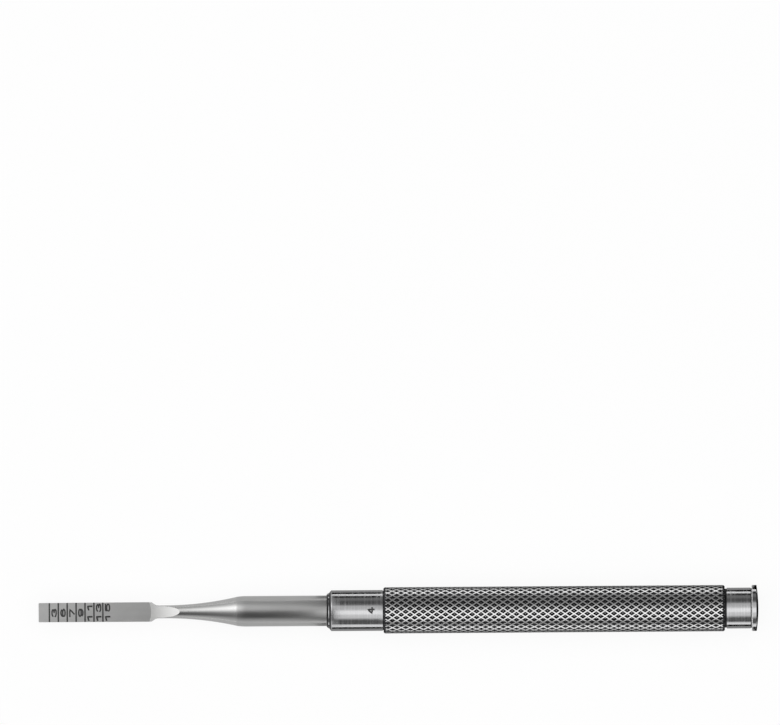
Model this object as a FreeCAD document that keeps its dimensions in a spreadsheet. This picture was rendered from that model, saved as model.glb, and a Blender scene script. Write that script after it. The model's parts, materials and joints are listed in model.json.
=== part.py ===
import FreeCAD, Part

# Surgical chisel: a ground blade and its turned shank, pressed into a knurled round handle.
# Each piece is drawn along X, from its tip end, with the blade's flats facing up and down.
# The assembled chisel lies on its grip, tip towards -X, with its length centred on the origin.
# A round handle can roll, so the chisel is kept by a clip or sleeve on its collar or shank.

import math
import os
import re

import Sketcher

# Driving dimensions in millimetres and degrees: alias, value, what it is.
SIZES = [
    ("blade_length", 22.8, "cutting edge to where the sides start to draw in"),
    ("blade_tip_width", 4.0, "width at the cutting edge"),
    ("blade_root_width", 4.08, "width where the sides start to draw in"),
    ("blade_tip_thickness", 0.6, "thickness at the cutting edge before the bevel"),
    ("blade_root_thickness", 1.0, "thickness at the foot of the ramps"),
    ("tip_corner_radius", 0.15, "rounding of the two corners of the cutting edge, seen from above"),
    ("bevel_angle", 22, "angle of the single bevel under the cutting edge"),
    ("edge_land", 0.04, "height of the cutting edge itself"),
    ("blank_allowance", 0.05, "how far the turned blank stands outside the blade's section"),
    ("flare_length", 2.25, "length over which the sides draw in to the neck"),
    ("neck_diameter", 2.69, "round neck behind the blade"),
    ("neck_length", 1.25, "straight part of the neck"),
    ("ramp_setback", 0.9, "start of the ramps behind the start of the flare"),
    ("ramp_radius", 18, "grinding wheel that leaves each ramp"),
    ("ramp_overrun", 0.6, "how far above the neck each ramp is carried on"),
    ("taper_length", 15.0, "hollow cone from the neck to the shoulder of the shank"),
    ("shoulder_length", 1.9, "rounded start of the shank"),
    ("shoulder_drop", 0.15, "how far the shoulder falls below the shank"),
    ("shank_diameter", 6.35, "shank"),
    ("blade_reach", 60.0, "cutting edge to the nose of the handle"),
    ("tang_diameter", 4.0, "tang hidden in the handle"),
    ("tang_length", 18.0, "tang from the shank's rear face"),
    ("tang_chamfer", 0.5, "lead-in at the end of the tang"),
    ("tang_clearance", 0.02, "bore wider than the tang, on the diameter"),
    ("bore_end_gap", 1.0, "bore deeper than the tang"),
    ("drill_point_angle", 118, "cone at the bottom of the bore"),
    ("nose_diameter", 6.6, "flat nose face round the shank"),
    ("nose_angle", 45, "slope of the nose chamfer"),
    ("collar_diameter", 8.5, "smooth collar in front of the grip and neck behind it"),
    ("front_length", 11.85, "nose face to the grip"),
    ("grip_diameter", 9.66, "grip over the crossings of its ridges"),
    ("grip_length", 71.1, "knurled grip"),
    ("grip_chamfer", 0.3, "chamfer at both ends of the grip"),
    ("knurl_count", 24, "pits in one row round the grip"),
    ("knurl_pitch", 1.848, "pit to pit along the grip"),
    ("knurl_depth", 0.42, "depth of each pit below the crossings"),
    ("rear_neck_length", 5.6, "smooth neck between the grip and the flange"),
    ("flange_diameter", 9.58, "striking flange"),
    ("flange_length", 1.05, "rim of the striking flange"),
    ("flange_chamfer", 0.15, "chamfer of both edges of the rim"),
    ("dome_height", 0.35, "crown of the struck face"),
]

# How far each cutting tool reaches past the metal it removes.
CUT_MARGIN = 1.0

# The axis that both pieces are turned about.
ORIGIN = FreeCAD.Vector(0, 0, 0)
ALONG = FreeCAD.Vector(1, 0, 0)

doc = FreeCAD.newDocument("surgical_chisel")
sheet = doc.addObject("Spreadsheet::Sheet", "Sizes")
for row, (alias, value, note) in enumerate(SIZES, start=1):
    sheet.set(f"A{row}", note)
    sheet.set(f"B{row}", str(value))
    sheet.setAlias(f"B{row}", alias)
doc.recompute()

ALIASES = {alias for alias, value, note in SIZES}

# Lengths and heights that several pieces share, written in the sheet's aliases.
BLANK_RADIUS = ("(sqrt(blade_root_width ^ 2 + blade_root_thickness ^ 2) / 2"
                " + blank_allowance)")
FLARE_DROP = f"({BLANK_RADIUS} - neck_diameter / 2)"
RAMP_START = "(blade_length + ramp_setback)"
RAMP_RISE = "(neck_diameter / 2 + ramp_overrun - blade_root_thickness / 2)"
TAPER_START = "(blade_length + flare_length + neck_length)"
TAPER_RISE = "((shank_diameter - neck_diameter) / 2 - shoulder_drop)"
BORE_DEPTH = "(tang_length + bore_end_gap)"
BORE_RADIUS = "((tang_diameter + tang_clearance) / 2)"
REAR_SHOULDER = "(front_length + grip_length)"
FLANGE_FRONT = f"({REAR_SHOULDER} + rear_neck_length)"
FLANGE_REAR = f"({FLANGE_FRONT} + flange_length)"
DOME_RADIUS = "(flange_diameter / 2 - flange_chamfer)"
HANDLE_LENGTH = f"({FLANGE_REAR} + dome_height)"
OVERALL_LENGTH = f"(blade_reach + {HANDLE_LENGTH})"
REST_HEIGHT = "(grip_diameter / 2 * cos(90 / knurl_count))"


def bound(expression):
    """Write an expression for the document: each alias is looked up in the sheet."""
    return re.sub(r"[a-z_]+", lambda word: f"Sizes.{word[0]}" if word[0] in ALIASES else word[0],
                  expression)


def size(expression):
    """The present value of an expression in the sheet's aliases."""
    value = sheet.evalExpression(bound(expression))
    return float(getattr(value, "Value", value))


def origin_plane(body, role):
    """One of a body's own three origin planes, such as XY_Plane."""
    return next(item for item in body.Origin.OriginFeatures if item.Role == role)


def new_sketch(body, name, role):
    sketch = body.newObject("Sketcher::SketchObject", name)
    sketch.AttachmentSupport = [(origin_plane(body, role), "")]
    sketch.MapMode = "FlatFace"
    return sketch


def arc_between(start, end, radius, side):
    """The minor arc between two points, bulging to the left (+1) or right (-1) of start-end.

    Returns it with whether it runs from start to end, because arcs always turn anticlockwise.
    """
    chord = end - start
    to_left = FreeCAD.Vector(-chord.y, chord.x, 0).normalize()
    reach = math.sqrt(max(radius ** 2 - (chord.Length / 2) ** 2, 0))
    centre = (start + end) / 2 - to_left * side * reach
    forward = side < 0
    first, last = (start, end) if forward else (end, start)
    angles = [math.atan2(point.y - centre.y, point.x - centre.x) for point in (first, last)]
    circle = Part.Circle(centre, FreeCAD.Vector(0, 0, 1), radius)
    return Part.ArcOfCircle(circle, *angles), forward


def draw_loop(sketch, corners):
    """Draw one closed outline whose corners and arc radii are bound to the sheet.

    Each corner is (x, y) or, where an arc leads to the next corner, (x, y, radius, side).
    """
    places = [FreeCAD.Vector(size(corner[0]), size(corner[1]), 0) for corner in corners]
    ends = []
    for index, corner in enumerate(corners):
        start = places[index]
        end = places[(index + 1) % len(corners)]
        forward = True
        if len(corner) == 4:
            curve, forward = arc_between(start, end, size(corner[2]), corner[3])
        else:
            curve = Part.LineSegment(start, end)
        edge = sketch.addGeometry(curve, False)
        ends.append((edge, 1, 2) if forward else (edge, 2, 1))
        if len(corner) == 4:
            bind(sketch, Sketcher.Constraint("Radius", edge, size(corner[2])), corner[2])
    for index, corner in enumerate(corners):
        here = ends[index][:2]
        edge_before, end_before = ends[index - 1][0], ends[index - 1][2]
        sketch.addConstraint(Sketcher.Constraint("Coincident", edge_before, end_before, *here))
        for kind, axis, text in (("DistanceX", -2, corner[0]), ("DistanceY", -1, corner[1])):
            if text == "0":
                sketch.addConstraint(Sketcher.Constraint("PointOnObject", *here, axis))
            else:
                bind(sketch, Sketcher.Constraint(kind, -1, 1, *here, size(text)), text)


def bind(sketch, constraint, expression):
    """Add a dimension to a sketch and tie it to the sheet."""
    index = sketch.addConstraint(constraint)
    sketch.setExpression(f"Constraints[{index}]", bound(expression))


def turn(body, kind, name, outline):
    """Turn a closed outline, drawn as (length, radius), about the X axis to add or cut metal."""
    sketch = new_sketch(body, f"{name}_outline", "XY_Plane")
    draw_loop(sketch, outline)
    turned = body.newObject(kind, name)
    turned.Profile = sketch
    turned.ReferenceAxis = (sketch, ["H_Axis"])
    turned.Angle = 360
    return turned


def mill(body, name, role, outline):
    """Cut a closed outline right through the body, both ways from an origin plane."""
    sketch = new_sketch(body, f"{name}_outline", role)
    draw_loop(sketch, outline)
    cut = body.newObject("PartDesign::Pocket", name)
    cut.Profile = sketch
    cut.Type = "ThroughAll"
    cut.Midplane = True
    return cut


def repeat_mirrored(body, feature, role):
    """Repeat a feature on the far side of an origin plane."""
    mirrored = body.newObject("PartDesign::Mirrored", f"{feature.Name}_mirrored")
    mirrored.Originals = [feature]
    mirrored.MirrorPlane = (origin_plane(body, role), [""])
    body.Tip = mirrored
    return mirrored


def place(piece, length_offset):
    """Set a piece down in the chisel's frame, its own origin at length_offset from the tip."""
    along = f"{length_offset} - {OVERALL_LENGTH} / 2"
    piece.setExpression(".Placement.Base.x", bound(along))
    piece.setExpression(".Placement.Base.z", bound(REST_HEIGHT))


def build_blade_shank():
    """Blade, neck, hollow cone, shank and hidden tang, ground from one turned blank."""
    body = doc.addObject("PartDesign::Body", "blade_shank")
    body.Label = "blade_shank"

    flare_radius = f"((flare_length ^ 2 + {FLARE_DROP} ^ 2) / (4 * {FLARE_DROP}))"
    flare_middle = f"({BLANK_RADIUS} + neck_diameter / 2) / 2"
    taper_radius = f"((taper_length ^ 2 + {TAPER_RISE} ^ 2) / (2 * {TAPER_RISE}))"
    taper_end = f"({TAPER_START} + taper_length)"
    shoulder_radius = "((shoulder_length ^ 2 + shoulder_drop ^ 2) / (2 * shoulder_drop))"
    blank = turn(body, "PartDesign::Revolution", "turned_blank", [
        ("0", "0"),
        ("0", BLANK_RADIUS),
        ("blade_length", BLANK_RADIUS, flare_radius, 1),
        ("blade_length + flare_length / 2", flare_middle, flare_radius, -1),
        ("blade_length + flare_length", "neck_diameter / 2"),
        (TAPER_START, "neck_diameter / 2", taper_radius, -1),
        (taper_end, "shank_diameter / 2 - shoulder_drop", shoulder_radius, 1),
        (f"{taper_end} + shoulder_length", "shank_diameter / 2"),
        ("blade_reach", "shank_diameter / 2"),
        ("blade_reach", "tang_diameter / 2"),
        ("blade_reach + tang_length - tang_chamfer", "tang_diameter / 2"),
        ("blade_reach + tang_length", "tang_diameter / 2 - tang_chamfer"),
        ("blade_reach + tang_length", "0"),
    ])
    doc.recompute()

    # The upper flat tapers to the edge, and the wheel runs out of it up the cone.
    above = f"{BLANK_RADIUS} + ramp_overrun + {CUT_MARGIN}"
    ramp_end = f"{RAMP_START} + sqrt({RAMP_RISE} * (2 * ramp_radius - {RAMP_RISE}))"
    upper_flat = mill(body, "upper_flat", "XZ_Plane", [
        (f"-{CUT_MARGIN}", "blade_tip_thickness / 2"),
        ("0", "blade_tip_thickness / 2"),
        (RAMP_START, "blade_root_thickness / 2", "ramp_radius", -1),
        (ramp_end, "neck_diameter / 2 + ramp_overrun"),
        (ramp_end, above),
        (f"-{CUT_MARGIN}", above),
    ])
    doc.recompute()
    both_flats = repeat_mirrored(body, upper_flat, "XY_Plane")
    doc.recompute()

    # One side of the blade, from its rounded corner to the middle of the flare.
    outside = f"{BLANK_RADIUS} + {CUT_MARGIN}"
    flare_centre = "blade_length + flare_length / 2"
    one_side = mill(body, "one_side", "XY_Plane", [
        (f"-{CUT_MARGIN}", "blade_tip_width / 2 - tip_corner_radius"),
        ("0", "blade_tip_width / 2 - tip_corner_radius", "tip_corner_radius", 1),
        ("tip_corner_radius", "blade_tip_width / 2"),
        ("blade_length", "blade_root_width / 2"),
        (flare_centre, "blade_root_width / 2"),
        (flare_centre, outside),
        (f"-{CUT_MARGIN}", outside),
    ])
    doc.recompute()
    both_sides = repeat_mirrored(body, one_side, "XZ_Plane")
    doc.recompute()

    # The single bevel leaves the cutting edge at the level of the upper flat.
    edge_height = "blade_tip_thickness / 2 - edge_land"
    below = f"blade_root_thickness / 2 + {CUT_MARGIN}"
    bevel = mill(body, "bevel", "XZ_Plane", [
        ("0", edge_height),
        (f"-{CUT_MARGIN}", edge_height),
        (f"-{CUT_MARGIN}", f"-({below})"),
        (f"({edge_height} + {below}) / tan(bevel_angle)", f"-({below})"),
    ])
    place(body, "0")
    return body, [blank, both_flats, both_sides, bevel]


def build_turned_handle():
    """The handle as turned and bored: nose, collar, plain core, neck and domed flange."""
    body = doc.addObject("PartDesign::Body", "turned_handle")
    dome_radius = f"(({DOME_RADIUS} ^ 2 + dome_height ^ 2) / (2 * dome_height))"
    bar = turn(body, "PartDesign::Revolution", "turned_bar", [
        ("0", "0"),
        ("0", "nose_diameter / 2"),
        ("(collar_diameter - nose_diameter) / 2 / tan(nose_angle)", "collar_diameter / 2"),
        (FLANGE_FRONT, "collar_diameter / 2"),
        (FLANGE_FRONT, DOME_RADIUS),
        (f"{FLANGE_FRONT} + flange_chamfer", "flange_diameter / 2"),
        (f"{FLANGE_REAR} - flange_chamfer", "flange_diameter / 2"),
        (FLANGE_REAR, DOME_RADIUS, dome_radius, 1),
        (HANDLE_LENGTH, "0"),
    ])
    doc.recompute()
    bore = turn(body, "PartDesign::Groove", "tang_bore", [
        ("0", "0"),
        ("0", BORE_RADIUS),
        (BORE_DEPTH, BORE_RADIUS),
        (f"{BORE_DEPTH} + {BORE_RADIUS} / tan(drill_point_angle / 2)", "0"),
    ])
    return body, [bar, bore]


def build_knurl():
    """The knurled sleeve of the grip: two hands of ridges, with a pit in each mesh between them.

    Rows half a pitch apart and columns half a mesh apart carry crossings and pits in turn.
    """
    columns = 2 * int(size("knurl_count"))
    rows = max(2, round(size("grip_length / knurl_pitch * 2")))
    row_step = size("grip_length") / rows
    crossing_radius = size("grip_diameter / 2")
    pit_radius = size("grip_diameter / 2 - knurl_depth")

    def is_crossing(row, column):
        return (row + column) % 2 == 0

    def point(row, column):
        radius = crossing_radius if is_crossing(row, column) else pit_radius
        angle = 2 * math.pi * (column + 0.5) / columns
        return FreeCAD.Vector(row * row_step, radius * math.cos(angle), radius * math.sin(angle))

    corners = {(row, column): Part.Vertex(point(row, column))
               for row in range(rows + 1) for column in range(columns)}
    edges = {}

    def edge(first, second):
        """The edge between two corners, shared by the two faces that meet there."""
        pair = (min(first, second), max(first, second))
        if pair not in edges:
            edges[pair] = Part.Edge(corners[pair[0]], corners[pair[1]])
        return edges[pair]

    def facet(ring, outward):
        sides = [edge(first, second) for first, second in zip(ring, ring[1:] + ring[:1])]
        face = Part.Face(Part.Wire(sides))
        if face.normalAt(0, 0).dot(outward) < 0:
            face.reverse()
        return face

    facets = []
    for row in range(rows):
        for column in range(columns):
            beside = (column + 1) % columns
            near, far = (row, column), (row + 1, column)
            near_beside, far_beside = (row, beside), (row + 1, beside)
            outward = point(row, column) + point(row, beside)
            outward.x = 0
            if is_crossing(row, column):
                halves = [near, far, far_beside], [near, far_beside, near_beside]
            else:
                halves = [near, far, near_beside], [far, far_beside, near_beside]
            facets += [facet(half, outward) for half in halves]
    for row, facing in ((0, -1), (rows, 1)):
        rim = [(row, column) for column in range(columns)]
        facets.append(facet(rim, FreeCAD.Vector(facing, 0, 0)))

    length = size("grip_length")
    inside = size(f"grip_diameter / 2 - grip_chamfer - {CUT_MARGIN}")
    outside = size(f"grip_diameter / 2 + {CUT_MARGIN}")
    reach = size(f"grip_chamfer + {CUT_MARGIN}")
    off_the_sleeve = [
        ring([(-CUT_MARGIN, inside), (reach, outside), (-CUT_MARGIN, outside)]),
        ring([(length + CUT_MARGIN, inside), (length - reach, outside),
              (length + CUT_MARGIN, outside)]),
        Part.makeCylinder(size("collar_diameter / 2"), length, ORIGIN, ALONG),
    ]
    knurl = doc.addObject("Part::Feature", "knurl")
    knurl.Shape = Part.Solid(Part.Shell(facets)).cut(off_the_sleeve)
    knurl.setExpression(".Placement.Base.x", bound("front_length"))
    return knurl


def ring(outline):
    """A ring of metal with a plain three-sided section, drawn as (length, radius)."""
    corners = [FreeCAD.Vector(length, radius, 0) for length, radius in outline + outline[:1]]
    return Part.Face(Part.makePolygon(corners)).revolve(ORIGIN, ALONG, 360)


def build_handle():
    """The handle: turned, bored for the tang and knurled, all one piece of metal."""
    turned_handle, stages = build_turned_handle()
    handle = doc.addObject("Part::Fuse", "knurled_handle")
    handle.Base = turned_handle
    handle.Tool = build_knurl()
    handle.Refine = False
    handle.Label = "handle"
    place(handle, "blade_reach")
    return handle, stages


def require(condition, message):
    if not condition:
        raise RuntimeError(message)


def check_removal(stages):
    """Each stage of a piece must hold less metal than the one before it."""
    for before, after in zip(stages, stages[1:]):
        require(after.Shape.Volume < before.Shape.Volume, f"{after.Name} removed nothing")


blade_shank, blade_stages = build_blade_shank()
handle, handle_stages = build_handle()
doc.recompute()

for item in doc.Objects:
    require(not {"Invalid", "Error"} & set(item.State), f"{item.Name} failed: {item.State}")
for stages in (blade_stages, handle_stages):
    check_removal(stages)

os.makedirs("parts", exist_ok=True)
for piece in (blade_shank, handle):
    shape = piece.Shape
    require(not shape.isNull() and shape.isValid(), f"{piece.Label} is not a sound solid")
    require(len(shape.Solids) == 1, f"{piece.Label} is not one solid")
    shape.exportStep(f"parts/{piece.Label}.step")
    print(piece.Label, f"{shape.Volume:.2f} mm3", shape.BoundBox)
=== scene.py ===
import json
import math

import bmesh
import bpy
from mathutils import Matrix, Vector


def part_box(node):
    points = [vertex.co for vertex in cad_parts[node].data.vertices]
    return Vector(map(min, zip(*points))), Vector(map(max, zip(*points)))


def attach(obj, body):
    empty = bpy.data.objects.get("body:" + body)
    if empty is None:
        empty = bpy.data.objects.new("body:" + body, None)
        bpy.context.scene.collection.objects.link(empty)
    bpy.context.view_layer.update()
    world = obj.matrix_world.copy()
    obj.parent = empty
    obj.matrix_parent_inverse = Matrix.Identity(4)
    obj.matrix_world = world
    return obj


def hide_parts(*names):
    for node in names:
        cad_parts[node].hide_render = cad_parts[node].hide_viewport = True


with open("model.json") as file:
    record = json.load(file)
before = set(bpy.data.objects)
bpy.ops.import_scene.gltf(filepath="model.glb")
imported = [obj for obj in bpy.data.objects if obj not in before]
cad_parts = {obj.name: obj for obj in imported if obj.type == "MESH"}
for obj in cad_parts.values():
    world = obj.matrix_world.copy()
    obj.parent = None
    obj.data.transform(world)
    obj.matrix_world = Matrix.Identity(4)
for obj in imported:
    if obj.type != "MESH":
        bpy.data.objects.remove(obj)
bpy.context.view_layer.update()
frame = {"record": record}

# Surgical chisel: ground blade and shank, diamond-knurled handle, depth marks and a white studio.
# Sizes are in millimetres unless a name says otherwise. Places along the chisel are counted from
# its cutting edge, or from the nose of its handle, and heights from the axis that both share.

MM = 0.001
WELD_DISTANCE = 0.0005 * MM
SHARP_ANGLE = math.radians(30)

blade_low, blade_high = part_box("blade_shank")
handle_low, handle_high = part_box("handle")
mount_sizes = {mount["name"]: mount["dims"] for mount in frame["record"]["mounts"]}

TIP_X = blade_low.x / MM
NOSE_X = handle_low.x / MM
AXIS_Z = (handle_low.z + handle_high.z) / 2 / MM
SHANK_RADIUS = mount_sizes["shank"]["r_mm"]
COLLAR_RADIUS = mount_sizes["front_collar"]["r_mm"]
BLADE_REACH = NOSE_X - TIP_X
TANG_LENGTH = blade_high.x / MM - NOSE_X
HANDLE_LENGTH = (handle_high.x - handle_low.x) / MM

# The blade, flare, neck and cone.
BLADE_LENGTH = 22.8
TIP_HALF_WIDTH = 2.0
ROOT_HALF_WIDTH = 2.04
TIP_HALF_THICKNESS = 0.3
ROOT_HALF_THICKNESS = 0.5
TIP_CORNER_RADIUS = 0.15
BEVEL_ANGLE = math.radians(22)
EDGE_LAND = 0.04
BLANK_ALLOWANCE = 0.05
FLARE_LENGTH = 2.25
NECK_RADIUS = 1.345
NECK_LENGTH = 1.25
RAMP_SETBACK = 0.9
RAMP_RADIUS = 18.0
TAPER_LENGTH = 15.0
SHOULDER_LENGTH = 1.9
SHOULDER_DROP = 0.15
TANG_RADIUS = 2.0
TANG_CHAMFER = 0.5
BLADE_SHARP_ANGLE = math.radians(8)

# Where they follow each other behind the cutting edge. The ramp starts a little into the flare.
RAMP_START = BLADE_LENGTH + RAMP_SETBACK
FLARE_MIDDLE = BLADE_LENGTH + FLARE_LENGTH / 2
FLARE_END = BLADE_LENGTH + FLARE_LENGTH
TAPER_START = FLARE_END + NECK_LENGTH
TAPER_END = TAPER_START + TAPER_LENGTH
SHOULDER_END = TAPER_END + SHOULDER_LENGTH
RAMP_END = 31.0
BLASTED_END = BLADE_LENGTH + 0.6
BLASTED_BEND = 0.1

# The handle. A groove is where it starts and ends behind the nose, and how deep it is.
NOSE_RADIUS = 3.3
NOSE_LAND = (0.36, 0.52)
BORE_RADIUS = 2.01
BORE_DEPTH = 19.0
BORE_POINT = 1.2
GRIP_START = 11.85
GRIP_LENGTH = 71.1
GRIP_RADIUS = AXIS_Z
GRIP_CHAMFER = 0.26
REAR_NECK_LENGTH = 5.6
FLANGE_RADIUS = 4.79
FLANGE_LENGTH = 1.05
FLANGE_CHAMFER = (0.2, 0.14)
FLANGE_ROUNDING = 0.15
DOME_STEP = 0.001
EDGE_ROUNDING = 0.12
FLANGE_START = GRIP_START + GRIP_LENGTH + REAR_NECK_LENGTH
GROOVES = ((GRIP_START - 0.16, GRIP_START + 0.05, 0.14),
           (GRIP_START + GRIP_LENGTH - 0.05, GRIP_START + GRIP_LENGTH + 0.42, 0.19),
           (FLANGE_START - 0.2, FLANGE_START, 0.12))
# The nose's two chamfers and the three grooves are painted near black: painted shade in the
# grooves and a painted dark reflection on the chamfers.
PAINTED_DARK_RINGS = ((0, NOSE_LAND[0]), (NOSE_LAND[1], COLLAR_RADIUS - NOSE_RADIUS - 0.05),
              *((start, end) for start, end, depth in GROOVES))
# The flange's front chamfer is painted near white, a painted highlight.
PAINTED_HIGHLIGHT_RINGS = ((FLANGE_START + 0.01, FLANGE_START + FLANGE_CHAMFER[0]),)
RING_BLUR = 0.01
TURNED_SEGMENTS = 192

# The diamond knurl: rows and columns are half a mesh apart. A pit goes down by rims, each with its
# share of the mesh and its depth.
KNURL_COLUMNS = 48
KNURL_ROWS = 77
KNURL_DEPTH = 0.42
LAND_SHARE = 0.22
PIT_RIMS = ((1, 0), (1 - LAND_SHARE, 0), (0.71, 0.05), (0.27, 0.38), (0.2, KNURL_DEPTH))
SIDE_STEPS = 2
KNURL_ROOT = COLLAR_RADIUS - 0.05
LAND_TOLERANCE = 0.002
KNURL_SHARP_ANGLE = math.radians(24)

# The marks, cut by laser: the first line, then one at each spacing with its numeral behind it.
FIRST_MARK = 2.24
MARK_SPACING = 1.857
MARK_WIDTH = 0.31
MARK_HEIGHT = 0.008
MARK_MARGIN = 0.02
MARK_NUMERALS = ("3", "6", "7", "9", "11", "13", "15")
NUMERAL_HEIGHT = 1.18
NUMERAL_WIDTH = 1.78
ONE_WIDTH = 1.12
NUMERAL_PEN = 0.31
ONE_PEN = 0.36
NUMERAL_SETBACK = 0.98
NUMERAL_ACROSS = -0.08
PAIR_ACROSS = (-1.23, 0.94)
COLLAR_NUMERAL = "4"
COLLAR_NUMERAL_SIZE = (1.6, 1.5)
COLLAR_NUMERAL_SETBACK = 9.2
COLLAR_NUMERAL_ACROSS = -0.05
COLLAR_PEN = 0.37
STROKE_STEPS = 4


def in_frame(along, across, up):
    """A point in the frame, in metres, from millimetres along, across and above the axis."""
    return Vector(((TIP_X + along) * MM, across * MM, (AXIS_Z + up) * MM))


def steps(start, end, count):
    """Evenly spaced numbers from start up to, but not with, end."""
    return [start + (end - start) * index / count for index in range(count)]


def new_piece(name, bm, sharp_angle=SHARP_ANGLE):
    """Weld and close a mesh, smooth it up to an angle and add it to the scene."""
    bmesh.ops.remove_doubles(bm, verts=bm.verts, dist=WELD_DISTANCE)
    bmesh.ops.recalc_face_normals(bm, faces=bm.faces)
    for edge in bm.edges:
        edge.smooth = len(edge.link_faces) == 2 and edge.calc_face_angle() < sharp_angle
    for face in bm.faces:
        face.smooth = True
    mesh = bpy.data.meshes.new(name)
    bm.to_mesh(mesh)
    bm.free()
    piece = bpy.data.objects.new(name, mesh)
    bpy.context.scene.collection.objects.link(piece)
    return piece


def skin(bm, rings):
    """Join rings of points into one surface and close it at both ends."""
    loops = [[bm.verts.new(in_frame(*point)) for point in ring] for ring in rings]
    for near, far in zip(loops, loops[1:]):
        for index in range(len(near)):
            bm.faces.new((near[index - 1], near[index], far[index], far[index - 1]))
    bm.faces.new(loops[0])
    bm.faces.new(loops[-1])


def arc_rise(distance, radius):
    """How far an arc leaves its tangent at some distance from where they touch."""
    return radius - math.sqrt(max(radius ** 2 - distance ** 2, 0))


def arc_radius(length, rise):
    """Radius of the arc that leaves its tangent by a rise over a length."""
    return (length ** 2 + rise ** 2) / (2 * rise)


def blank_radius(along):
    """Radius of the turned blank that the blade and its shank are ground from."""
    blade_radius = math.hypot(ROOT_HALF_WIDTH, ROOT_HALF_THICKNESS) + BLANK_ALLOWANCE
    if along <= BLADE_LENGTH:
        return blade_radius
    if along <= FLARE_END:
        bend = arc_radius(FLARE_LENGTH / 2, (blade_radius - NECK_RADIUS) / 2)
        if along < FLARE_MIDDLE:
            return blade_radius - arc_rise(along - BLADE_LENGTH, bend)
        return NECK_RADIUS + arc_rise(FLARE_END - along, bend)
    if along <= TAPER_START:
        return NECK_RADIUS
    if along <= TAPER_END:
        bend = arc_radius(TAPER_LENGTH, SHANK_RADIUS - SHOULDER_DROP - NECK_RADIUS)
        return NECK_RADIUS + arc_rise(along - TAPER_START, bend)
    if along <= SHOULDER_END:
        bend = arc_radius(SHOULDER_LENGTH, SHOULDER_DROP)
        return SHANK_RADIUS - arc_rise(SHOULDER_END - along, bend)
    return SHANK_RADIUS


def flat_height(along):
    """Height of the upper flat and of the ramp that the wheel leaves behind it."""
    if along > RAMP_START:
        return ROOT_HALF_THICKNESS + arc_rise(along - RAMP_START, RAMP_RADIUS)
    return TIP_HALF_THICKNESS + (ROOT_HALF_THICKNESS - TIP_HALF_THICKNESS) * along / RAMP_START


def half_width(along):
    """Half the width that the sides are ground to."""
    if along < TIP_CORNER_RADIUS:
        return TIP_HALF_WIDTH - arc_rise(TIP_CORNER_RADIUS - along, TIP_CORNER_RADIUS)
    taper = min(along / BLADE_LENGTH, 1)
    return TIP_HALF_WIDTH + (ROOT_HALF_WIDTH - TIP_HALF_WIDTH) * taper


def blade_section(along, radius):
    """One ring round the blade: its flats, its sides and what is left of the turned blank."""
    flat_steps, arc_steps, side_steps = 6, 24, 4
    height = min(flat_height(along), radius)
    width = radius if along > FLARE_MIDDLE else min(half_width(along), radius)
    flat_end = min(width, math.sqrt(radius ** 2 - height ** 2))
    side_end = min(height, math.sqrt(radius ** 2 - width ** 2))
    first, last = math.atan2(height, flat_end), math.atan2(side_end, width)
    meets_corner = first <= last
    quarter = [(place, height) for place in steps(0, flat_end, flat_steps)]
    for angle in steps(first, last, arc_steps):
        on_arc = (radius * math.cos(angle), radius * math.sin(angle))
        quarter.append((flat_end, height) if meets_corner else on_arc)
    quarter += [(width, place) for place in steps(side_end, 0, side_steps)]

    # The quarter is mirrored downward, and both then turned over to the left.
    below = [(y, -z) for y, z in reversed(quarter[1:])]
    right = quarter + [(width, 0)] + below
    left = [(-y, -z) for y, z in right]
    lowest = TIP_HALF_THICKNESS - EDGE_LAND - along * math.tan(BEVEL_ANGLE)
    return [(along, y, max(z, lowest)) for y, z in right + left]


def build_blade():
    """The blade, its ramps, neck, hollow cone and shank, with the tang behind them."""
    bevel_end = (2 * TIP_HALF_THICKNESS - EDGE_LAND) / (
        math.tan(BEVEL_ANGLE) - (ROOT_HALF_THICKNESS - TIP_HALF_THICKNESS) / BLADE_LENGTH)
    # The end of each stretch and how many rings lead to it, most where the ramps run out.
    stations = []
    start = 0
    for end, count in ((TIP_CORNER_RADIUS, 8), (bevel_end, 8), (BLADE_LENGTH, 12),
                       (RAMP_START, 10), (FLARE_MIDDLE, 4), (FLARE_END, 25), (TAPER_START, 10),
                       (TAPER_START + TAPER_LENGTH / 3, 80), (TAPER_END, 40),
                       (SHOULDER_END, 16), (BLADE_REACH, 4)):
        stations += steps(start, end, count)
        start = end
    stations.append(BLADE_REACH)
    rings = [blade_section(along, blank_radius(along)) for along in stations]
    tang_end = BLADE_REACH + TANG_LENGTH
    for along, radius in ((BLADE_REACH, TANG_RADIUS), (tang_end - TANG_CHAMFER, TANG_RADIUS),
                          (tang_end, TANG_RADIUS - TANG_CHAMFER)):
        rings.append(blade_section(along, radius))
    bm = bmesh.new()
    skin(bm, rings)
    return new_piece("blade_and_shank", bm, BLADE_SHARP_ANGLE)


def rounded(profile, corner, radius):
    """Round one corner of a profile by a small arc, drawn as a curve through five points."""
    before, middle, after = (Vector(profile[index]) for index in (corner - 1, corner, corner + 1))
    start = middle + (before - middle).normalized() * radius
    end = middle + (after - middle).normalized() * radius
    bend = []
    for part in steps(0, 1, 4) + [1]:
        bend.append(tuple(start.lerp(middle, part).lerp(middle.lerp(end, part), part)))
    return profile[:corner] + bend + profile[corner + 1:]


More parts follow.
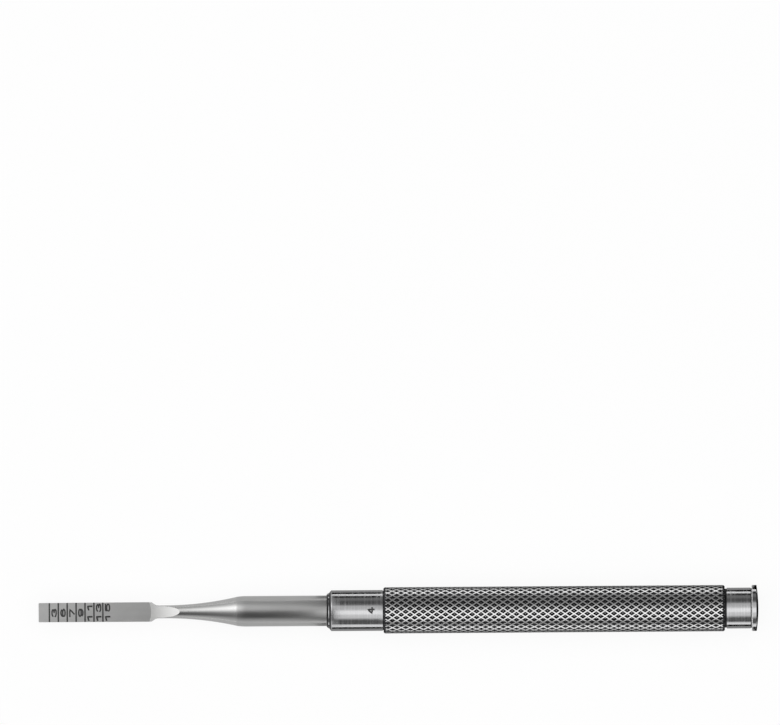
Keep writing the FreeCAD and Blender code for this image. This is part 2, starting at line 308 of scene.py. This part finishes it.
def handle_profile():
    """Half the turned handle's section, from the bottom of its bore round to its struck face."""
    flange_rear = FLANGE_START + FLANGE_LENGTH
    dome_height = HANDLE_LENGTH - flange_rear
    dome_edge = FLANGE_RADIUS - FLANGE_ROUNDING
    dome_radius = arc_radius(dome_edge, dome_height)
    profile = [
        (BORE_DEPTH + BORE_POINT, 0),
        (BORE_DEPTH, BORE_RADIUS),
        (0, BORE_RADIUS),
        (0, NOSE_RADIUS),
        (NOSE_LAND[0], NOSE_RADIUS + NOSE_LAND[0]),
        (NOSE_LAND[1], NOSE_RADIUS + NOSE_LAND[0]),
        (COLLAR_RADIUS - NOSE_RADIUS, COLLAR_RADIUS),
    ]
    collar_edge = len(profile) - 1
    for start, end, depth in GROOVES:
        profile += [(start, COLLAR_RADIUS), (start, COLLAR_RADIUS - depth),
                    (end, COLLAR_RADIUS - depth), (end, COLLAR_RADIUS)]
    profile += [
        (FLANGE_START, FLANGE_RADIUS - FLANGE_CHAMFER[1]),
        (FLANGE_START + FLANGE_CHAMFER[0], FLANGE_RADIUS),
        (flange_rear, FLANGE_RADIUS),
        (flange_rear + DOME_STEP, dome_edge),
    ]
    flange_edge = len(profile) - 2
    profile = rounded(profile, flange_edge, FLANGE_ROUNDING)
    profile = rounded(profile, collar_edge, EDGE_ROUNDING)
    for radius in steps(dome_edge, 0, 12)[1:] + [0]:
        profile.append((HANDLE_LENGTH - arc_rise(radius, dome_radius), radius))
    return profile


def add_turned_body(bm):
    """The bored and turned body, plain under the knurl."""
    loops = []
    for along, radius in handle_profile():
        loop = []
        for index in range(TURNED_SEGMENTS):
            angle = 2 * math.pi * index / TURNED_SEGMENTS
            loop.append(bm.verts.new(in_frame(BLADE_REACH + along, radius * math.sin(angle),
                                              radius * math.cos(angle))))
        loops.append(loop)
    for near, far in zip(loops, loops[1:]):
        for index in range(TURNED_SEGMENTS):
            bm.faces.new((near[index - 1], near[index], far[index], far[index - 1]))


def add_knurl(bm):
    """A sleeve of lands that cross in two hands, with a four-sided pit in each mesh."""
    row_step = GRIP_LENGTH / KNURL_ROWS
    corners = [(1, 0), (0, 1), (-1, 0), (0, -1)]
    outline = []
    for index, (row, column) in enumerate(corners):
        next_row, next_column = corners[(index + 1) % 4]
        for part in steps(0, 1, SIDE_STEPS):
            outline.append((row + (next_row - row) * part, column + (next_column - column) * part))

    def on_sleeve(row, column, radius):
        angle = 2 * math.pi * (column + 0.5) / KNURL_COLUMNS
        point = in_frame(BLADE_REACH + GRIP_START + row * row_step,
                         radius * math.cos(angle), radius * math.sin(angle))
        return bm.verts.new(point)

    def in_pit(row, column, depth):
        """A point at some depth below the lands, or on the chamfer where that is deeper."""
        along = row * row_step
        from_end = min(along, GRIP_LENGTH - along, GRIP_CHAMFER)
        return on_sleeve(row, column, GRIP_RADIUS - max(depth, GRIP_CHAMFER - from_end))

    def close_end(row, column, rim):
        """Fill from half a pit's rim, in an end face, down into the turned body."""
        inner = [on_sleeve(row, column + offset, KNURL_ROOT) for offset, vertex in rim]
        for index in range(len(rim) - 1):
            bm.faces.new((rim[index][1], rim[index + 1][1], inner[index + 1], inner[index]))

    for row in range(KNURL_ROWS + 1):
        at_end = row in (0, KNURL_ROWS)
        inward = 1 if row == 0 else -1
        shown = outline
        if at_end:
            shown = [place for place in outline if place[0] * inward >= 0]
            shown.sort(key=lambda place: place[1])
        for column in range(1 - row % 2, KNURL_COLUMNS, 2):
            rings = [[in_pit(row + share * r, column + share * c, depth) for r, c in shown]
                     for share, depth in PIT_RIMS]
            for outer, inner in zip(rings, rings[1:]):
                for index in range(1 if at_end else 0, len(shown)):
                    bm.faces.new((outer[index - 1], outer[index], inner[index], inner[index - 1]))
            bm.faces.new(rings[-1])
            if at_end:
                pairs = list(zip(PIT_RIMS, rings))
                rim = [(-share, ring[0]) for (share, depth), ring in pairs]
                rim += [(share, ring[-1]) for (share, depth), ring in reversed(pairs)]
                close_end(row, column, rim)


def build_handle():
    """The handle, turned from one bar and knurled over its grip."""
    bm = bmesh.new()
    add_turned_body(bm)
    add_knurl(bm)
    piece = new_piece("knurled_handle", bm, KNURL_SHARP_ANGLE)
    round_lands(piece.data)
    return piece


def round_lands(mesh):
    """Shade the lands of the knurl as the round bar that they are left from."""
    normals = [Vector(corner.vector) for corner in mesh.corner_normals]
    axis = in_frame(0, 0, 0)
    for face in mesh.polygons:
        outward = [mesh.vertices[vertex].co - axis for vertex in face.vertices]
        for arm in outward:
            arm.x = 0
        if min(arm.length for arm in outward) > (GRIP_RADIUS - LAND_TOLERANCE) * MM:
            for corner, arm in zip(face.loop_indices, outward):
                normals[corner] = arm.normalized()
    mesh.normals_split_custom_set(normals)


def arc(middle, radii, start, end):
    """Points on an ellipse from one angle to another, in degrees."""
    angles = [math.radians(angle) for angle in steps(start, end, 12) + [end]]
    return [(middle[0] + radii[0] * math.cos(angle), middle[1] + radii[1] * math.sin(angle))
            for angle in angles]


def numeral_strokes(figure):
    """The pen strokes of a figure, in a box one unit wide and high about its middle."""
    loop = arc((0, -0.2), (0.5, 0.3), 0, 360)
    hook = arc((0, 0), (0.5, 0.5), 200, 40)
    strokes = {
        "1": [[(-0.5, 0.3), (0.4, 0.5), (0.4, -0.5)]],
        "3": [arc((0, 0.25), (0.45, 0.25), 170, -85) + arc((0, -0.25), (0.5, 0.25), 85, -170)],
        "4": [[(0.22, -0.5), (0.22, 0.5), (-0.5, -0.22), (0.5, -0.22)]],
        "5": [[(0.44, 0.5), (-0.38, 0.5), (-0.44, 0.06)]
              + arc((0, -0.14), (0.5, 0.36), 145, -155)],
        "6": [hook, loop],
        "7": [[(-0.5, 0.5), (0.5, 0.5), (-0.15, -0.5)]],
        "9": [[(-x, -y) for x, y in stroke] for stroke in (hook, loop)],
    }
    return strokes[figure]


def divided(points):
    """The same stroke, longer by half a pen at its ends and divided to bend round the collar."""
    path = [Vector(point) for point in points]
    ends = [path[end] + (path[end] - path[inner]).normalized()
            for end, inner in ((0, 1), (-1, -2))]
    path[0], path[-1] = ends
    fine = []
    for near, far in zip(path, path[1:]):
        fine += [near.lerp(far, part) for part in steps(0, 1, STROKE_STEPS)]
    return fine + [path[-1]]


def stroke_mesh(points):
    """A tube of unit radius along a stroke."""
    curve = bpy.data.curves.new("stroke", "CURVE")
    curve.dimensions = "3D"
    curve.bevel_depth = 1.0
    curve.bevel_resolution = 2
    curve.use_fill_caps = True
    spline = curve.splines.new("POLY")
    spline.points.add(len(points) - 1)
    for point, (x, y) in zip(spline.points, points):
        point.co = (x, y, 0, 1)
    holder = bpy.data.objects.new("stroke", curve)
    bpy.context.scene.collection.objects.link(holder)
    bpy.context.view_layer.update()
    mesh = bpy.data.meshes.new_from_object(holder)
    bpy.data.objects.remove(holder)
    bpy.data.curves.remove(curve)
    return mesh


def add_numeral(bm, figure, middle, size, pen, surface):
    """Lay a figure on a surface, its head towards the tip.

    middle and size are (along, across), pen is the stroke's width, and surface gives a point for
    (along, across, proud).
    """
    reach = (size[0] - pen, size[1] - pen)
    for stroke in numeral_strokes(figure):
        scaled = [(x * reach[1] / pen * 2, y * reach[0] / pen * 2) for x, y in stroke]
        mesh = stroke_mesh(divided(scaled))
        first = len(bm.verts)
        bm.from_mesh(mesh)
        bpy.data.meshes.remove(mesh)
        bm.verts.ensure_lookup_table()
        for vertex in bm.verts[first:]:
            x, y, proud = vertex.co * (pen / 2)
            vertex.co = surface(middle[0] - y, middle[1] + x, proud / pen + 0.5)


def on_blade(along, across, proud):
    """A point a mark's height above the blade's upper flat where proud is 1, or below it at 0."""
    return in_frame(along, across, flat_height(along) + (proud * 2 - 1) * MARK_HEIGHT)


def on_collar(along, across, proud):
    """A point a mark's height above the collar where proud is 1, or below it at 0."""
    radius = COLLAR_RADIUS + (proud * 2 - 1) * MARK_HEIGHT
    angle = across / COLLAR_RADIUS
    return in_frame(along, radius * math.sin(angle), radius * math.cos(angle))


def build_depth_marks():
    """The lines across the blade with their numerals."""
    bm = bmesh.new()
    for index, text in enumerate(MARK_NUMERALS):
        line = FIRST_MARK + index * MARK_SPACING
        ends = (line - MARK_WIDTH / 2, line + MARK_WIDTH / 2)
        corners = []
        for proud in (0, 1):
            for along, side in ((0, -1), (0, 1), (1, 1), (1, -1)):
                width = half_width(ends[along]) - MARK_MARGIN
                corners.append(bm.verts.new(on_blade(ends[along], side * width, proud)))
        for face in ((0, 1, 2, 3), (7, 6, 5, 4), (0, 4, 5, 1), (1, 5, 6, 2), (2, 6, 7, 3),
                     (3, 7, 4, 0)):
            bm.faces.new([corners[corner] for corner in face])
        places = (NUMERAL_ACROSS,) if len(text) == 1 else PAIR_ACROSS
        for figure, across in zip(text, places):
            width, pen = (ONE_WIDTH, ONE_PEN) if figure == "1" else (NUMERAL_WIDTH, NUMERAL_PEN)
            middle = (line + NUMERAL_SETBACK, across)
            add_numeral(bm, figure, middle, (NUMERAL_HEIGHT, width), pen, on_blade)
    return new_piece("depth_marks", bm)


def build_collar_numeral():
    """The blade's width in millimetres, marked on the collar."""
    bm = bmesh.new()
    middle = (BLADE_REACH + COLLAR_NUMERAL_SETBACK, COLLAR_NUMERAL_ACROSS)
    add_numeral(bm, COLLAR_NUMERAL, middle, COLLAR_NUMERAL_SIZE, COLLAR_PEN, on_collar)
    return new_piece("collar_numeral", bm)


def add_node(tree, kind, inputs=None, **settings):
    """Add a node, set its properties, and set or link its inputs by name or number."""
    made = tree.nodes.new(kind)
    for name, value in settings.items():
        setattr(made, name, value)
    for name, value in (inputs or {}).items():
        if isinstance(value, bpy.types.NodeSocket):
            tree.links.new(value, made.inputs[name])
        else:
            made.inputs[name].default_value = value
    return made


def math_node(tree, operation, first, second=0.0, third=0.0, clamp=False):
    """The result of an operation on numbers or sockets, kept from 0 to 1 if clamped."""
    node = add_node(tree, "ShaderNodeMath", {0: first, 1: second, 2: third}, operation=operation)
    node.use_clamp = clamp
    return node.outputs[0]


def past(tree, value, line, sharpness):
    """A mask that is 0 before a line and rises to 1 past it, within one over the sharpness."""
    beyond = math_node(tree, "SUBTRACT", value, line)
    return math_node(tree, "MULTIPLY", beyond, sharpness, clamp=True)


def new_material(name):
    """An empty node material, with its output and its object coordinates in millimetres."""
    material = bpy.data.materials.new(name)
    material.use_nodes = True
    tree = material.node_tree
    tree.nodes.clear()
    output = add_node(tree, "ShaderNodeOutputMaterial")
    coordinates = add_node(tree, "ShaderNodeTexCoord")
    scaled = add_node(tree, "ShaderNodeMapping", {"Vector": coordinates.outputs["Object"],
                                                 "Scale": (1 / MM, 1 / MM, 1 / MM)})
    return material, tree, output.inputs["Surface"], scaled.outputs[0]


def new_surface(name):
    """A material with a principled shader, and its object coordinates in millimetres."""
    material, tree, surface, place = new_material(name)
    shader = add_node(tree, "ShaderNodeBsdfPrincipled")
    tree.links.new(shader.outputs["BSDF"], surface)
    return material, tree, shader, place


def stretched_noise(tree, place, scale, detail=2.0):
    """Noise whose grain is one over scale, in millimetres, along each axis."""
    stretched = add_node(tree, "ShaderNodeMapping", {"Vector": place, "Scale": scale})
    noise = add_node(tree, "ShaderNodeTexNoise", {"Vector": stretched.outputs[0], "Scale": 1.0,
                                                 "Detail": detail})
    return noise.outputs["Fac"]


def between(tree, factor, low, high, start=0.0, end=1.0):
    """A value from low to high as the factor goes from start to end, and level beyond them."""
    node = add_node(tree, "ShaderNodeMapRange", {"Value": factor, "From Min": start,
                                                 "From Max": end, "To Min": low, "To Max": high})
    return node.outputs[0]


def mix(tree, factor, first, second):
    """A number between two, each a number or a socket."""
    return add_node(tree, "ShaderNodeMix", {"Factor": factor, 2: first, 3: second}).outputs[0]


def grey_mix(tree, factor, dark, light):
    """A colour between two greys, each a colour or a socket."""
    node = add_node(tree, "ShaderNodeMix", {"Factor": factor, 6: dark, 7: light}, data_type="RGBA")
    return node.outputs[2]


def bump(tree, height, distance, under=None):
    """A bump of a real height in millimetres, on top of another one."""
    inputs = {"Height": height, "Distance": distance * MM, "Strength": 1.0}
    if under is not None:
        inputs["Normal"] = under
    return add_node(tree, "ShaderNodeBump", inputs).outputs[0]


def satin_steel():
    """Satin steel, blasted on the blade, with a painted highlight on its ground ramps, and
    smoother behind them.
    """
    material, tree, shader, place = new_surface("satin_steel")
    along, across = add_node(tree, "ShaderNodeSeparateXYZ", {0: place}).outputs[:2]
    across_squared = math_node(tree, "POWER", across, 2.0)

    # The blasting ends in a shallow arc across the blade's root.
    arc_line = math_node(tree, "MULTIPLY_ADD", across_squared, -BLASTED_BEND, TIP_X + BLASTED_END)
    off_blade = past(tree, along, arc_line, 12.0)
    polished = math_node(tree, "MULTIPLY", off_blade, past(tree, TIP_X + TAPER_END, along, 5.0))

    # The ground ramps are what faces straight up or down between there and where they run out.
    normal = add_node(tree, "ShaderNodeNewGeometry").outputs["Normal"]
    facing = add_node(tree, "ShaderNodeSeparateXYZ", {0: normal})
    leaning = math_node(tree, "MULTIPLY", math_node(tree, "ABSOLUTE", facing.outputs[1]), 40.0,
                        clamp=True)
    level = math_node(tree, "SUBTRACT", 1.0, leaning)
    on_ramp = math_node(tree, "MULTIPLY", level, past(tree, TIP_X + RAMP_END, along, 5.0))
    on_ramp = math_node(tree, "MULTIPLY", on_ramp, off_blade)

    cloud = stretched_noise(tree, place, (0.25, 0.8, 0.8))
    grain = stretched_noise(tree, place, (9.0, 9.0, 9.0))
    tone = math_node(tree, "MULTIPLY_ADD", grain, 0.3, math_node(tree, "MULTIPLY", cloud, 0.7))
    dull = grey_mix(tree, tone, (0.53, 0.53, 0.525, 1), (0.64, 0.64, 0.635, 1))
    bright = grey_mix(tree, tone, (0.60, 0.60, 0.595, 1), (0.69, 0.69, 0.685, 1))
    # The ramps are painted near white, a painted highlight for the light they mirror.
    ramp = grey_mix(tree, tone, (0.90, 0.90, 0.89, 1), (0.97, 0.97, 0.96, 1))
    colour = grey_mix(tree, on_ramp, grey_mix(tree, polished, dull, bright), ramp)
    shader.inputs["Metallic"].default_value = 1.0
    tree.links.new(colour, shader.inputs["Base Color"])
    blasted = between(tree, cloud, 0.36, 0.42)
    satin = between(tree, cloud, 0.27, 0.33)
    ground = between(tree, cloud, 0.21, 0.26)
    round_parts = math_node(tree, "SUBTRACT", off_blade, on_ramp, clamp=True)
    rough = mix(tree, round_parts, blasted, mix(tree, polished, satin, ground))
    tree.links.new(rough, shader.inputs["Roughness"])
    brushed = stretched_noise(tree, place, (22.0, 1.2, 1.2))
    first = bump(tree, grain, 0.0006)
    tree.links.new(bump(tree, brushed, 0.0006, first), shader.inputs["Normal"])
    return material


def in_rings(tree, place, rings):
    """A mask that is 1 in rings of the handle, each from one place behind its nose to another."""
    mask = 0.0
    for start, end in rings:
        middle = TIP_X + BLADE_REACH + (start + end) / 2
        from_middle = math_node(tree, "ABSOLUTE", math_node(tree, "SUBTRACT", place, middle))
        half = (end - start) / 2
        inside = between(tree, from_middle, 0.0, 1.0, half + RING_BLUR, half - RING_BLUR)
        mask = math_node(tree, "MAXIMUM", inside, mask)
    return mask


def polished_steel():
    """Polished steel with a turned grain, darker and duller down in the pits of the knurl with
    painted shade, and with a painted highlight on its lands.
    """
    material, tree, shader, place = new_surface("polished_steel")
    along, across, height = add_node(tree, "ShaderNodeSeparateXYZ", {0: place}).outputs
    up = math_node(tree, "SUBTRACT", height, AXIS_Z)
    squares = math_node(tree, "ADD", math_node(tree, "MULTIPLY", across, across),
                        math_node(tree, "MULTIPLY", up, up))
    depth = math_node(tree, "SUBTRACT", GRIP_RADIUS, math_node(tree, "SQRT", squares))
    grip_middle = TIP_X + BLADE_REACH + GRIP_START + GRIP_LENGTH / 2
    from_middle = math_node(tree, "ABSOLUTE", math_node(tree, "SUBTRACT", along, grip_middle))
    in_grip = between(tree, from_middle, 0.0, 1.0, GRIP_LENGTH / 2 + 0.02, GRIP_LENGTH / 2)
    below_land = between(tree, depth, 0.0, 1.0, 0.004, 0.02)
    above_floor = between(tree, depth, 1.0, 0.5, KNURL_DEPTH - 0.03, KNURL_DEPTH)
    # The pits are painted dark, a painted shade.
    in_pit = math_node(tree, "MULTIPLY", below_land, in_grip)
    in_pit = math_node(tree, "MULTIPLY", in_pit, above_floor)
    # The lands get a painted highlight.
    on_land = math_node(tree, "MULTIPLY", math_node(tree, "SUBTRACT", 1.0, below_land), in_grip)
    # Painted dark rings: painted shade in the grooves and a painted dark reflection on the nose's
    # chamfers.
    painted_dark_rings = in_rings(tree, along, PAINTED_DARK_RINGS)
    # edge is the mask of the flange chamfer's painted highlight.
    edge = in_rings(tree, along, PAINTED_HIGHLIGHT_RINGS)
    painted_dark_mask = math_node(tree, "MAXIMUM", in_pit, painted_dark_rings)
    painted_highlight_mask = math_node(tree, "MAXIMUM", on_land, edge)

    turned = stretched_noise(tree, place, (14.0, 0.35, 0.35), 3.0)
    rings = stretched_noise(tree, place, (3.2, 0.12, 0.12), 2.0)
    rings = between(tree, rings, 0.0, 1.0, 0.3, 0.7)
    waves = stretched_noise(tree, place, (1.1, 0.7, 0.7), 1.0)
    cloud = stretched_noise(tree, place, (0.3, 0.5, 0.5))
    grain = math_node(tree, "MULTIPLY_ADD", rings, 0.6, math_node(tree, "MULTIPLY", turned, 0.4))
    bright = grey_mix(tree, grain, (0.58, 0.58, 0.59, 1), (0.76, 0.76, 0.77, 1))
    # Near white on the lands and the flange's chamfer: a painted highlight.
    colour_with_painted_highlight = grey_mix(tree, painted_highlight_mask, bright, (0.95, 0.95, 0.95, 1))
    # Near black in the pits and the dark rings: painted shade, and a painted dark reflection on
    # the nose's chamfers.
    pit = grey_mix(tree, cloud, (0.03, 0.03, 0.032, 1), (0.08, 0.08, 0.085, 1))
    dark = grey_mix(tree, painted_dark_rings, pit, (0.045, 0.045, 0.047, 1))
    shader.inputs["Metallic"].default_value = 1.0
    tree.links.new(grey_mix(tree, painted_dark_mask, colour_with_painted_highlight, dark), shader.inputs["Base Color"])
    smooth = between(tree, rings, 0.07, 0.23)
    land = between(tree, cloud, 0.18, 0.25)
    land = math_node(tree, "MULTIPLY_ADD", edge, 0.35, land)
    rough = mix(tree, painted_dark_mask, mix(tree, painted_highlight_mask, smooth, land), 0.42)
    tree.links.new(rough, shader.inputs["Roughness"])
    lines = bump(tree, turned, 0.0008)
    tree.links.new(bump(tree, waves, 0.004, lines), shader.inputs["Normal"])
    return material


def laser_black():
    """The matt black oxide that a marking laser leaves."""
    material, tree, shader, place = new_surface("laser_black")
    speckle = stretched_noise(tree, place, (14.0, 14.0, 14.0))
    colour = grey_mix(tree, speckle, (0.012, 0.012, 0.012, 1), (0.035, 0.035, 0.035, 1))
    tree.links.new(colour, shader.inputs["Base Color"])
    tree.links.new(between(tree, speckle, 0.5, 0.65), shader.inputs["Roughness"])
    tree.links.new(bump(tree, speckle, 0.001), shader.inputs["Normal"])
    return material


# The studio: a white floor, a dim room with a bright horizon, and over the chisel a row of light
# tents that only its steel mirrors, with mats below. A tent's brightness is listed by angle from
# upright, in degrees towards -Y. The tip's tent has one light near the handle and one far from it.
PIXELS_PER_MM = 4.8
IMAGE_SIZE = (780, 725)
CHISEL_MIDDLE = (398.5, 610.3)
CHISEL_TILT = math.radians(0.38)
CAMERA_HEIGHT = 600.0
FLOOR_SIZE = 8000.0
FLOOR_DROP = 0.02
MAT_DROP = 0.01
HORIZON = (0.02, 0.04)
TENT_RADIUS = 120.0
HANDLE_TENT_RADIUS = 36.0
HANDLE_LIGHT = ((-88, 0.02), (-76, 0.03), (-70, 0.19), (-58, 0.17), (-50, 0.09), (-38, 0.09),
                (-30, 0.20), (-24, 0.55), (-8, 0.62), (-2, 0.78), (3, 1.1), (18, 1.1), (24, 0.78),
                (39, 0.74), (45, 0.45), (50, 0.20), (56, 0.10), (70, 0.12), (77, 0.03), (81, 0.5),
                (88, 0.9))
GRIP_LIGHT = ((-88, 0.75), (-80, 0.60), (-74, 0.22), (-60, 0.18), (-30, 0.22), (-22, 0.24),
              (-12, 0.50), (-2, 0.75), (8, 0.85), (20, 1.0), (44, 0.95), (54, 0.50), (62, 0.20),
              (74, 0.20), (82, 0.50), (88, 0.75))
NEAR_LIGHT = ((-88, 0.42), (-62, 0.36), (-45, 0.50), (-30, 0.58), (-20, 0.56), (-8, 0.44),
              (4, 0.12), (14, 0.04), (46, 0.04), (58, 0.30), (72, 0.50), (88, 0.56))
FAR_LIGHT = ((-88, 0.60), (-70, 0.75), (-55, 1.2), (-42, 2.0), (-30, 2.3), (-18, 1.9), (-5, 1.2),
             (8, 0.60), (22, 0.35), (42, 0.25), (58, 0.38), (74, 0.50), (88, 0.55))
TENT_SIDE = 88
TENT_STRIPS = 44
TENT_JOIN = 40.0
TENT_MARGIN = 40.0
TIP_TENT_START = -90.0
TIP_TENT_END = BLADE_REACH + TENT_MARGIN
COLLAR_TENT_START = BLADE_REACH - 1.5
COLLAR_MAT_START = BLADE_REACH - 2
GRIP_SPAN = (BLADE_REACH + GRIP_START, BLADE_REACH + GRIP_START + GRIP_LENGTH)
STUDIO_END = BLADE_REACH + HANDLE_LENGTH + TENT_MARGIN
CARD_EDGE = (25.0, 45.0)
MAT_EDGE = 27.0
MAT_MIDDLE = 14.0
WIDE_MAT_EDGE = 150.0


def add_floor():
    """A wide white floor under the chisel, which keeps a soft trace of its shadow."""
    bpy.ops.mesh.primitive_plane_add(size=FLOOR_SIZE * MM, location=(0, 0, -FLOOR_DROP * MM))
    floor = bpy.context.object
    floor.name = "floor"
    material, tree, surface, place = new_material("white_floor")
    shader = add_node(tree, "ShaderNodeBsdfPrincipled")
    shader.inputs["Base Color"].default_value = (0.95, 0.95, 0.95, 1)
    shader.inputs["Roughness"].default_value = 0.9
    path = add_node(tree, "ShaderNodeLightPath")
    seen = math_node(tree, "MAXIMUM", path.outputs["Is Camera Ray"], path.outputs["Is Glossy Ray"])
    seen = math_node(tree, "MAXIMUM", seen, path.outputs["Is Transmission Ray"])
    glow = add_node(tree, "ShaderNodeEmission", {"Color": (1, 1, 1, 1), "Strength": 1.0})
    share = math_node(tree, "MULTIPLY", seen, 0.9)
    mixed = add_node(tree, "ShaderNodeMixShader", {0: share, 1: shader.outputs[0],
                                                  2: glow.outputs[0]})
    tree.links.new(mixed.outputs[0], surface)
    floor.data.materials.append(material)


def add_world():
    """A dim grey room with a white horizon."""
    world = bpy.data.worlds.new("room")
    bpy.context.scene.world = world
    world.use_nodes = True
    tree = world.node_tree
    tree.nodes.clear()
    direction = add_node(tree, "ShaderNodeTexCoord")
    parts = add_node(tree, "ShaderNodeSeparateXYZ", {0: direction.outputs["Generated"]})
    background = add_node(tree, "ShaderNodeBackground", {
        "Color": (1, 1, 1, 1), "Strength": between(tree, parts.outputs[2], 1.0, 0.11, *HORIZON)})
    output = add_node(tree, "ShaderNodeOutputWorld")
    tree.links.new(background.outputs[0], output.inputs["Surface"])


def mirror_only(stage_piece):
    """Show a piece of the studio to polished metal alone, so that it neither lights nor shades."""
    stage_piece.visible_camera = False
    stage_piece.visible_diffuse = False
    stage_piece.visible_transmission = False
    stage_piece.visible_shadow = False


def glow_on(stage_piece):
    """Make a stage piece glow: its tree, the strength to set, and x, y and z in millimetres."""
    material, tree, surface, place = new_material(stage_piece.name)
    stage_piece.data.materials.append(material)
    glow = add_node(tree, "ShaderNodeEmission", {"Color": (1, 1, 1, 1)})
    tree.links.new(glow.outputs[0], surface)
    parts = add_node(tree, "ShaderNodeSeparateXYZ", {0: place})
    return tree, glow.inputs["Strength"], parts.outputs


def light_by_angle(tree, turned, light):
    """A ramp of brightness over a tent, from half a turn's share and a list by angle."""
    peak = max(brightness for angle, brightness in light)
    ramp = add_node(tree, "ShaderNodeValToRGB", {0: turned})
    while len(ramp.color_ramp.elements) < len(light):
        ramp.color_ramp.elements.new(1.0)
    for element, (angle, brightness) in zip(ramp.color_ramp.elements, light):
        element.position = angle / 180 + 0.5
        element.color = (brightness / peak, brightness / peak, brightness / peak, 1)
    return math_node(tree, "MULTIPLY", ramp.outputs[0], peak)


def tent_rim(bm, along, reach):
    """The rim of a tent, from its floor on the +Y side over the chisel to the other."""
    points = []
    for angle in steps(-TENT_SIDE, TENT_SIDE, TENT_STRIPS) + [TENT_SIDE]:
        side = math.radians(angle)
        points.append(in_frame(along, -reach * math.sin(side), reach * math.cos(side)))
    return [bm.verts.new(point) for point in points]


def add_tent(name, along, reach, near_light, far_light):
    """Half a tube of cloth over the chisel, lit by angle, with another light at its tip end."""
    bm = bmesh.new()
    first, last = (tent_rim(bm, end, reach) for end in along)
    for index in range(1, len(first)):
        bm.faces.new((first[index - 1], first[index], last[index], last[index - 1]))
    tent = new_piece(name, bm)
    tree, strength, place = glow_on(tent)
    up = math_node(tree, "SUBTRACT", place[2], AXIS_Z)
    across = math_node(tree, "MULTIPLY", place[1], -1.0)
    turned = math_node(tree, "DIVIDE", math_node(tree, "ARCTAN2", across, up), math.pi)
    turned = math_node(tree, "ADD", turned, 0.5)
    near = light_by_angle(tree, turned, near_light)
    far = light_by_angle(tree, turned, far_light)
    share = between(tree, place[0], 1.0, 0.0, TIP_X - TENT_JOIN, TIP_X + TENT_JOIN)
    tree.links.new(mix(tree, share, near, far), strength)
    mirror_only(tent)


def add_end_card():
    """A card across the tent's tip end, dark below, which chamfers mirror, and white above."""
    bm = bmesh.new()
    bm.faces.new(tent_rim(bm, TIP_TENT_START, TENT_RADIUS))
    card = new_piece("end_card", bm)
    tree, strength, place = glow_on(card)
    tree.links.new(between(tree, place[2], 0.02, 0.8, *CARD_EDGE), strength)
    mirror_only(card)


def add_mat(name, along, edge):
    """A mat on the floor, from one place to another along the chisel, that glows."""
    bpy.ops.mesh.primitive_plane_add(size=1, location=(0, 0, -MAT_DROP * MM))
    mat = bpy.context.object
    mat.name = name
    for vertex in mat.data.vertices:
        vertex.co.x = (TIP_X + (along[0] if vertex.co.x < 0 else along[1])) * MM
        vertex.co.y *= 2 * edge * MM
    mirror_only(mat)
    return glow_on(mat)


def add_mats():
    """Grey mats: even under the satin tip, and with another grey at the rim under the handle."""
    tree, strength, place = add_mat("tip_mat", (TIP_TENT_START, COLLAR_MAT_START), WIDE_MAT_EDGE)
    strength.default_value = 0.58
    for name, along, rim, middle in (("collar_mat", (COLLAR_MAT_START, GRIP_SPAN[0]), 0.0, 0.30),
                                     ("grip_mat", GRIP_SPAN, 0.60, 0.22),
                                     ("neck_mat", (GRIP_SPAN[1], STUDIO_END), 0.0, 0.30)):
        tree, strength, place = add_mat(name, along, MAT_EDGE)
        from_rim = past(tree, MAT_MIDDLE, math_node(tree, "ABSOLUTE", place[1]), 1.0)
        beside = past(tree, handle_high.x / MM - 0.5, place[0], 2.0)
        shade = math_node(tree, "MULTIPLY", from_rim, beside)
        tree.links.new(between(tree, shade, rim, middle), strength)


def add_fill():
    """Soft daylight for the floor and the marks, which polished metal doesn't mirror."""
    light = bpy.data.lights.new("daylight", "SUN")
    light.energy = 2.6
    light.angle = math.radians(90)
    sun = bpy.data.objects.new("daylight", light)
    sun.visible_glossy = False
    bpy.context.scene.collection.objects.link(sun)


def add_camera():
    """A camera straight above, framed and tilted as the photograph is."""
    data = bpy.data.cameras.new("camera")
    data.type = "ORTHO"
    data.ortho_scale = IMAGE_SIZE[0] / PIXELS_PER_MM * MM
    data.clip_end = 10
    right = (CHISEL_MIDDLE[0] - IMAGE_SIZE[0] / 2) / PIXELS_PER_MM * MM
    up = (IMAGE_SIZE[1] / 2 - CHISEL_MIDDLE[1]) / PIXELS_PER_MM * MM
    camera = bpy.data.objects.new("camera", data)
    camera.rotation_euler = (0, 0, -CHISEL_TILT)
    across = Vector((math.cos(CHISEL_TILT), -math.sin(CHISEL_TILT), 0))
    upward = Vector((math.sin(CHISEL_TILT), math.cos(CHISEL_TILT), 0))
    camera.location = Vector((0, 0, CAMERA_HEIGHT * MM)) - across * right - upward * up
    bpy.context.scene.collection.objects.link(camera)
    bpy.context.scene.camera = camera


def add_studio():
    """Everything round the chisel."""
    add_floor()
    add_mats()
    add_world()
    add_fill()
    for name, along, light in (("collar_tent", (COLLAR_TENT_START, GRIP_SPAN[0]), HANDLE_LIGHT),
                               ("grip_tent", GRIP_SPAN, GRIP_LIGHT),
                               ("neck_tent", (GRIP_SPAN[1], STUDIO_END), HANDLE_LIGHT)):
        add_tent(name, along, HANDLE_TENT_RADIUS, light, light)
    add_tent("tip_tent", (TIP_TENT_START, TIP_TENT_END), TENT_RADIUS, NEAR_LIGHT, FAR_LIGHT)
    add_end_card()
    add_camera()
    bpy.context.scene.view_settings.view_transform = "Standard"


blade = build_blade()
handle = build_handle()
depth_marks = build_depth_marks()
collar_numeral = build_collar_numeral()
steel = satin_steel()
polish = polished_steel()
black = laser_black()

for piece, material, slot in ((blade, steel, "satin_steel"), (handle, polish, "polished_steel"),
                              (depth_marks, black, "satin_steel"),
                              (collar_numeral, black, "polished_steel")):
    piece.data.materials.append(material)
    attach(piece, "root")
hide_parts("blade_shank")
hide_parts("handle")
add_studio()
